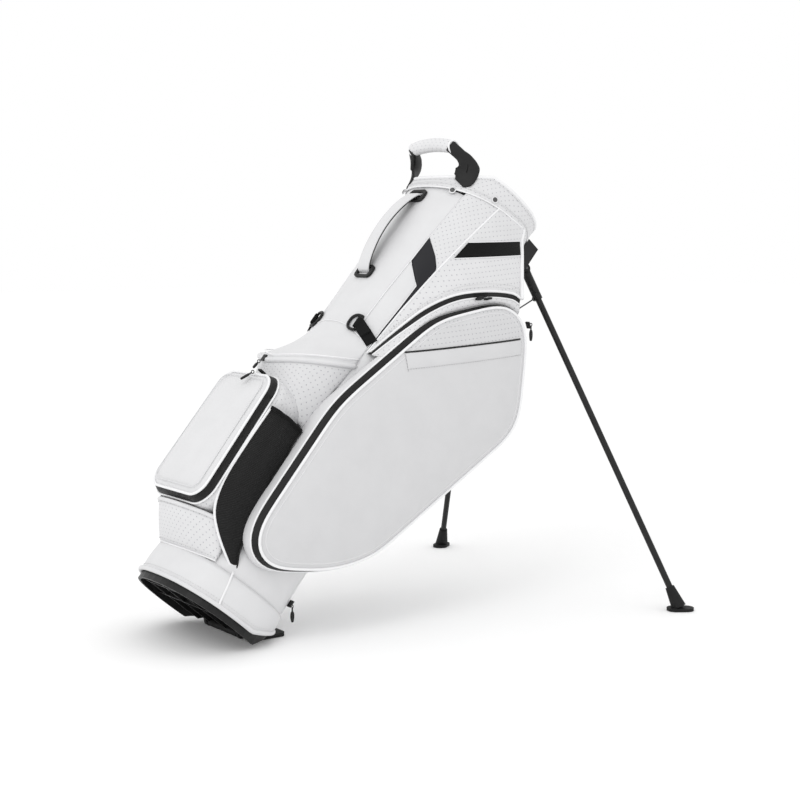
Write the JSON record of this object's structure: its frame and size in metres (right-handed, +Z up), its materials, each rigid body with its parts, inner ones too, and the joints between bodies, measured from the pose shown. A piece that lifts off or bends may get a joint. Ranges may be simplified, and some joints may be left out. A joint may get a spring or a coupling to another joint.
{
  "type": "golf stand bag",
  "caption": "Golf bag leaning on two swing-out legs, with a divided top, lift and grab handles, side, ball and sleeve pockets, and a rocker foot that works the legs.",
  "frame": {"origin": "on the ground, under the centre of the whole object's box", "axes": "+Z up, +X the way the bag leans, toward its legs, -Y the bag's right side"},
  "size_m": [0.8795, 0.7272, 0.8376],
  "materials": {
    "shell_white": "smooth white synthetic leather",
    "perforated_white": "white synthetic leather with rows of pin holes",
    "grip_white": "padded perforated synthetic leather",
    "charcoal_panel": "dark synthetic leather",
    "black_plastic": "satin moulded",
    "black_webbing": "woven webbing",
    "black_lining": "woven lining",
    "black_mesh": "open ribbed mesh",
    "zip_black": "coated zip tape and teeth",
    "leg_tube": "matt black painted aluminium",
    "rubber": "matt",
    "steel_dark": "dark plated steel",
    "stay": "glass fibre rod"
  },
  "bodies": {
    "bag": {"base_tray": "black_plastic", "foot_pin": "steel_dark", "base_collar": "shell_white", "spine_panel": "shell_white", "side_panel_right": "perforated_white", "side_panel_left": "perforated_white", "front_panel": "shell_white", "top_cuff": "perforated_white", "top_divider": "black_plastic", "club_dividers": "black_lining", "stay_rods": "stay", "lift_handle_frame": "black_plastic", "lift_handle_grip": "grip_white", "grab_handle": "shell_white", "grab_handle_trims": "black_plastic", "cuff_rivets": "black_plastic", "leg_bracket": "black_plastic", "leg_pins": "steel_dark", "rod_guides": "black_plastic", "d_ring_webbing": "black_webbing", "apparel_gusset_right": "shell_white", "apparel_gusset_left": "shell_white", "apparel_face_right": "shell_white", "apparel_face_left": "shell_white", "apparel_zip_right": "zip_black", "apparel_zip_left": "zip_black", "shoulder_panel_right": "perforated_white", "shoulder_panel_left": "perforated_white", "accent_stripes": "charcoal_panel", "side_bands": "black_webbing", "ball_gusset": "black_lining", "ball_face": "shell_white", "ball_zip": "zip_black", "valuables_pocket": "shell_white", "mesh_pocket_right": "black_mesh", "mesh_pocket_left": "black_mesh", "sleeve_pocket": "perforated_white", "zip_sliders": "zip_black"},
    "right_leg": {"leg_right": "leg_tube", "leg_knuckle_right": "black_plastic", "leg_boot_right": "rubber", "wire_clip_right": "black_plastic"},
    "left_leg": {"leg_left": "leg_tube", "leg_knuckle_left": "black_plastic", "leg_boot_left": "rubber", "wire_clip_left": "black_plastic"},
    "push_rod": {"push_rod": "steel_dark"},
    "right_link": {"push_link_right": "steel_dark"},
    "left_link": {"push_link_left": "steel_dark"},
    "rocker_foot": {"base_foot": "rubber"},
    "right_ring": {"d_ring_right": "black_plastic"},
    "left_ring": {"d_ring_left": "black_plastic"},
    "right_zip_pull": {"apparel_pull_right": "zip_black"},
    "left_zip_pull": {"apparel_pull_left": "zip_black"},
    "right_cord_pull": {"apparel_cord_right": "zip_black"},
    "left_cord_pull": {"apparel_cord_left": "zip_black"},
    "ball_zip_pull": {"ball_pull": "zip_black"},
    "valuables_zip_pull": {"valuables_pull": "zip_black"},
    "base_zip_pull": {"base_pull": "zip_black"}
  },
  "joints": [
    {"name": "right_leg_swing", "type": "hinge", "parent": "bag", "child": "right_leg", "pos_m": [0.28626, -0.0686, 0.59667], "axis": [0.3719, 0.8714, -0.3199], "range_deg": [0, 56.8]},
    {"name": "left_leg_swing", "type": "hinge", "parent": "bag", "child": "left_leg", "pos_m": [0.28626, 0.0686, 0.59667], "axis": [-0.3719, 0.8714, 0.3199], "range_deg": [0, 56.8]},
    {"name": "push_rod_slide", "type": "slide", "parent": "bag", "child": "push_rod", "axis": [-0.6521, 0, -0.7581], "range_m": [0, 0.02923]},
    {"name": "right_link_pivot", "type": "hinge", "parent": "right_leg", "child": "right_link", "pos_m": [0.29683, -0.09077, 0.54858], "axis": [-0.3719, -0.8714, 0.3199], "range_deg": [0, 89.8]},
    {"name": "left_link_pivot", "type": "hinge", "parent": "left_leg", "child": "left_link", "pos_m": [0.29683, 0.09077, 0.54858], "axis": [0.3719, -0.8714, -0.3199], "range_deg": [0, 89.8]},
    {"name": "rocker_foot_hinge", "type": "hinge", "parent": "bag", "child": "rocker_foot", "pos_m": [-0.3091, 0, 0.009], "axis": [0, 1, 0], "range_deg": [0, 28]},
    {"name": "right_ring_hinge", "type": "hinge", "parent": "bag", "child": "right_ring", "pos_m": [-0.08078, -0.06773, 0.51246], "axis": [0.6521, 0, 0.7581], "range_deg": [0, 110]},
    {"name": "left_ring_hinge", "type": "hinge", "parent": "bag", "child": "left_ring", "pos_m": [-0.08078, 0.06773, 0.51246], "axis": [-0.6521, 0, -0.7581], "range_deg": [0, 110]},
    {"name": "right_zip_pull_hinge", "type": "hinge", "parent": "bag", "child": "right_zip_pull", "pos_m": [0.13297, -0.148, 0.55526], "axis": [0, 1, 0], "range_deg": [0, 110]},
    {"name": "left_zip_pull_hinge", "type": "hinge", "parent": "bag", "child": "left_zip_pull", "pos_m": [0.13297, 0.148, 0.55526], "axis": [0, 1, 0], "range_deg": [0, 110]},
    {"name": "right_cord_pull_hinge", "type": "hinge", "parent": "bag", "child": "right_cord_pull", "pos_m": [0.2327, -0.148, 0.5042], "axis": [0, 1, 0], "range_deg": [-60, 0]},
    {"name": "left_cord_pull_hinge", "type": "hinge", "parent": "bag", "child": "left_cord_pull", "pos_m": [0.2327, 0.148, 0.5042], "axis": [0, 1, 0], "range_deg": [-60, 0]},
    {"name": "ball_zip_pull_hinge", "type": "hinge", "parent": "bag", "child": "ball_zip_pull", "pos_m": [-0.25815, -0.018, 0.43682], "axis": [0, 1, 0], "range_deg": [0, 110]},
    {"name": "valuables_zip_pull_hinge", "type": "hinge", "parent": "bag", "child": "valuables_zip_pull", "pos_m": [-0.2309, 0.008, 0.45164], "axis": [0, 1, 0], "range_deg": [0, 80]},
    {"name": "base_zip_pull_hinge", "type": "hinge", "parent": "bag", "child": "base_zip_pull", "pos_m": [-0.22817, -0.084, 0.05226], "axis": [0, 1, 0], "range_deg": [-60, 15]}
  ],
  "couplings": [
    {"joint": "left_leg_swing", "follows": "right_leg_swing", "ratio": 1},
    {"joint": "push_rod_slide", "follows": "right_leg_swing", "m_per_rad": 0.029479},
    {"joint": "right_link_pivot", "follows": "right_leg_swing", "ratio": 1.5809},
    {"joint": "left_link_pivot", "follows": "right_leg_swing", "ratio": 1.5809},
    {"joint": "rocker_foot_hinge", "follows": "right_leg_swing", "ratio": 0.49294}
  ]
}
